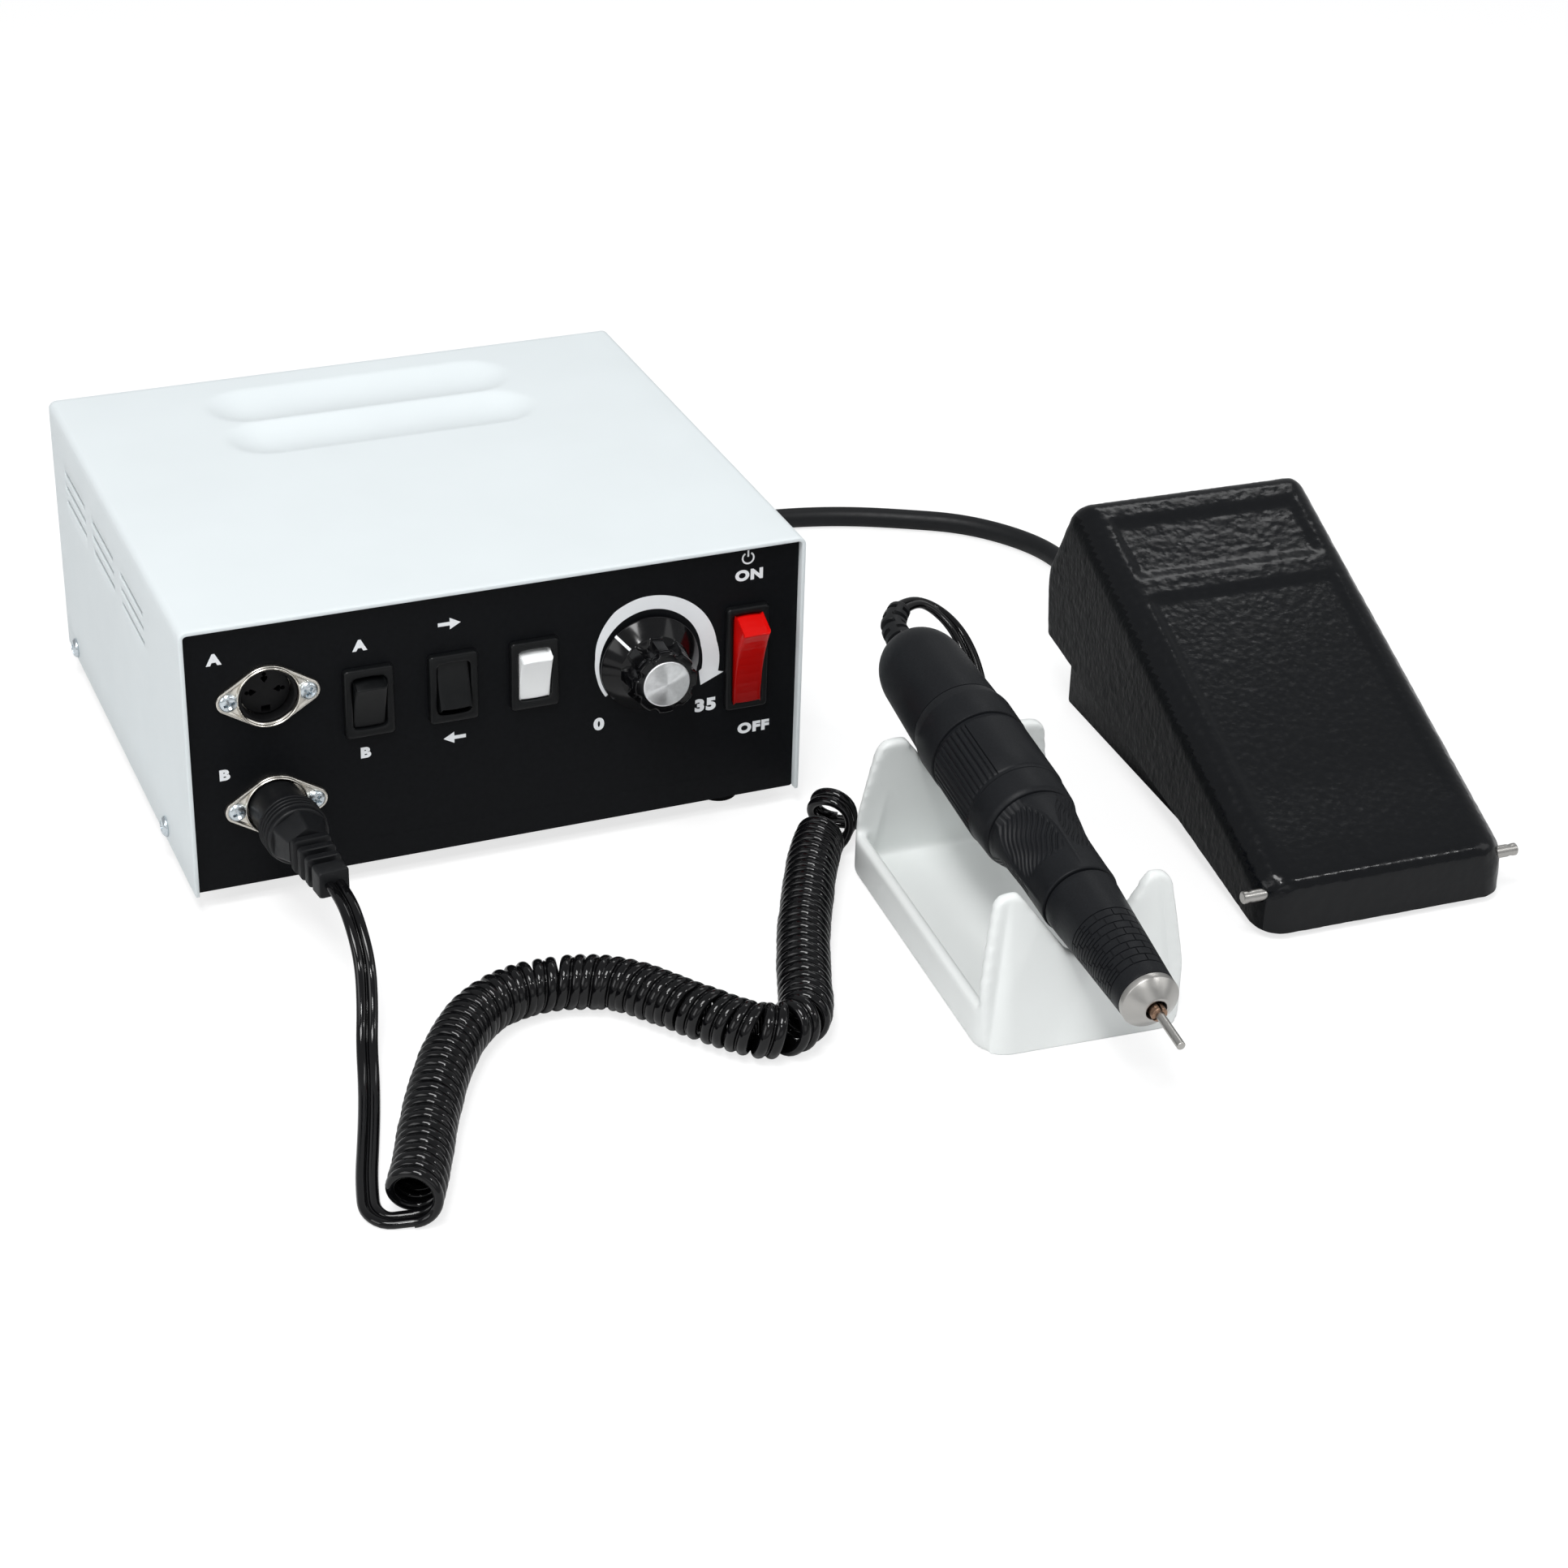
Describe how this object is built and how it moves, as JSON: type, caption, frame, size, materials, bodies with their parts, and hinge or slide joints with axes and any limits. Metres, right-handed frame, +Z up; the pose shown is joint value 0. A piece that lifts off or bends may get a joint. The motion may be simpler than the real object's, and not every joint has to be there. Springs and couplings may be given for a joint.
{
  "type": "dental micromotor",
  "caption": "Bench micromotor set: control unit with sockets, rocker switches and speed knob, motor handpiece in a cradle on a curly lead, and a foot pedal on a cord.",
  "frame": {"origin": "on the bench, under the middle of the box round the standing pieces", "axes": "+X to the right along the front of the control unit, +Y to its back, +Z up"},
  "size_m": [0.3558, 0.461, 0.088],
  "materials": {
    "case_paint": "fine textured pale grey powder coat",
    "chassis_paint": "black powder coat",
    "panel_print": "fine textured black panel with white print",
    "rubber_black": "black rubber",
    "nickel": "bright nickel plate",
    "insulator_black": "black moulding",
    "moulded_black": "soft black moulding",
    "switch_black": "satin black moulding",
    "switch_white": "glossy white moulding",
    "lens_red": "translucent red moulding",
    "knob_black": "polished black moulding",
    "spun_aluminium": "spun aluminium",
    "zinc_steel": "zinc plated steel",
    "board_green": "green laminate and components",
    "core_iron": "laminated iron and copper winding",
    "cradle_white": "white moulding",
    "pedal_paint": "glossy black hammered enamel",
    "pedal_plastic": "grey moulding",
    "grip_black": "soft black coating",
    "steel_bright": "bright steel",
    "collet_bronze": "bronzed steel",
    "lead_black": "glossy black jacket",
    "cord_rubber": "matt black rubber jacket"
  },
  "bodies": {
    "set": {"chassis": "chassis_paint", "front_panel": "panel_print", "cover": "case_paint", "feet": "rubber_black", "socket_a": "nickel", "socket_b": "nickel", "socket_a_insulator": "insulator_black", "socket_b_insulator": "insulator_black", "plug": "moulded_black", "speed_pot": "zinc_steel", "mains_inlet": "insulator_black", "fuse_holder": "insulator_black", "unit_gland": "moulded_black", "transformer": "core_iron", "circuit_board": "board_green", "output_switch": "switch_black", "direction_switch": "switch_black", "control_switch": "switch_black", "power_switch": "switch_black", "cradle": "cradle_white", "pedal_base": "pedal_paint", "hinge_pin": "zinc_steel", "pedal_gland": "rubber_black", "pedal_pot": "zinc_steel", "return_spring": "steel_bright", "cord_lead": "lead_black", "cord_coil": "lead_black", "cord_tail": "lead_black", "pedal_cord": "cord_rubber", "pedal_cord_coil": "cord_rubber", "pedal_cord_end": "cord_rubber"},
    "output_rocker": {"output_rocker": "switch_black"},
    "direction_rocker": {"direction_rocker": "switch_black"},
    "control_rocker": {"control_rocker": "switch_white"},
    "power_rocker": {"power_rocker": "lens_red"},
    "knob": {"knob_body": "knob_black", "knob_cap": "spun_aluminium", "pot_shaft": "steel_bright"},
    "fuse_cap": {"fuse_cap": "insulator_black"},
    "treadle": {"treadle": "pedal_paint", "treadle_sector": "pedal_plastic"},
    "pedal_pinion": {"pedal_pinion": "pedal_plastic"},
    "handpiece": {"handpiece_relief": "moulded_black", "rear_cap": "grip_black", "rear_collar": "grip_black", "rear_bearing": "steel_bright", "motor_body": "grip_black", "mid_collar": "grip_black", "core_tube": "steel_bright", "front_grip": "grip_black", "front_bearing": "steel_bright", "nose_cone": "steel_bright"},
    "twist_sleeve": {"twist_sleeve": "grip_black"},
    "spindle": {"spindle": "steel_bright", "collet": "collet_bronze"},
    "mandrel": {"mandrel": "steel_bright"}
  },
  "joints": [
    {"name": "output_switch_rock", "type": "hinge", "parent": "set", "child": "output_rocker", "pos_m": [-0.12603, 0.01377, 0.0577], "axis": [-1, 0, 0], "range_deg": [0, 28]},
    {"name": "direction_switch_rock", "type": "hinge", "parent": "set", "child": "direction_rocker", "pos_m": [-0.10183, 0.01377, 0.0579], "axis": [1, 0, 0], "range_deg": [0, 28]},
    {"name": "control_switch_rock", "type": "hinge", "parent": "set", "child": "control_rocker", "pos_m": [-0.07813, 0.01377, 0.0579], "axis": [-1, 0, 0], "range_deg": [0, 28]},
    {"name": "power_switch_rock", "type": "hinge", "parent": "set", "child": "power_rocker", "pos_m": [-0.01398, 0.01187, 0.052], "axis": [-1, 0, 0], "range_deg": [0, 28]},
    {"name": "speed_knob_turn", "type": "hinge", "parent": "set", "child": "knob", "pos_m": [-0.04353, 0.01117, 0.055], "axis": [0, 1, 0], "range_deg": [-85, 185]},
    {"name": "fuse_cap_turn", "type": "hinge", "parent": "set", "child": "fuse_cap", "pos_m": [-0.06593, 0.17117, 0.055], "axis": [0, -1, 0], "range_deg": [0, 90]},
    {"name": "treadle_press", "type": "hinge", "parent": "set", "child": "treadle", "pos_m": [0.09697, -0.10129, 0.0129], "axis": [-0.9992, 0.0389, 0], "range_deg": [0, 8], "stiffness_Nm_per_rad": 0.8, "springref_deg": -20.05, "deforming": ["return_spring"]},
    {"name": "pedal_pinion_turn", "type": "hinge", "parent": "set", "child": "pedal_pinion", "pos_m": [0.13698, 0.00093, 0.02933], "axis": [-0.9992, 0.0389, 0], "range_deg": [-112, 0]},
    {"name": "handpiece_lift", "type": "slide", "parent": "set", "child": "handpiece", "axis": [0, 0, 1], "range_m": [0, 0.04], "deforming": ["cord_tail"]},
    {"name": "sleeve_twist", "type": "hinge", "parent": "handpiece", "child": "twist_sleeve", "pos_m": [0.02872, -0.09051, 0.04117], "axis": [-0.0413, -0.9931, -0.1099], "range_deg": [0, 50]},
    {"name": "spindle_spin", "type": "hinge", "parent": "handpiece", "child": "spindle", "pos_m": [0.03053, -0.04682, 0.04601], "axis": [-0.0413, -0.9931, -0.1099], "continuous": true},
    {"name": "mandrel_slide", "type": "slide", "parent": "spindle", "child": "mandrel", "axis": [-0.0413, -0.9931, -0.1099], "range_m": [0, 0.015]}
  ],
  "couplings": [
    {"joint": "pedal_pinion_turn", "follows": "treadle_press", "ratio": -14}
  ]
}
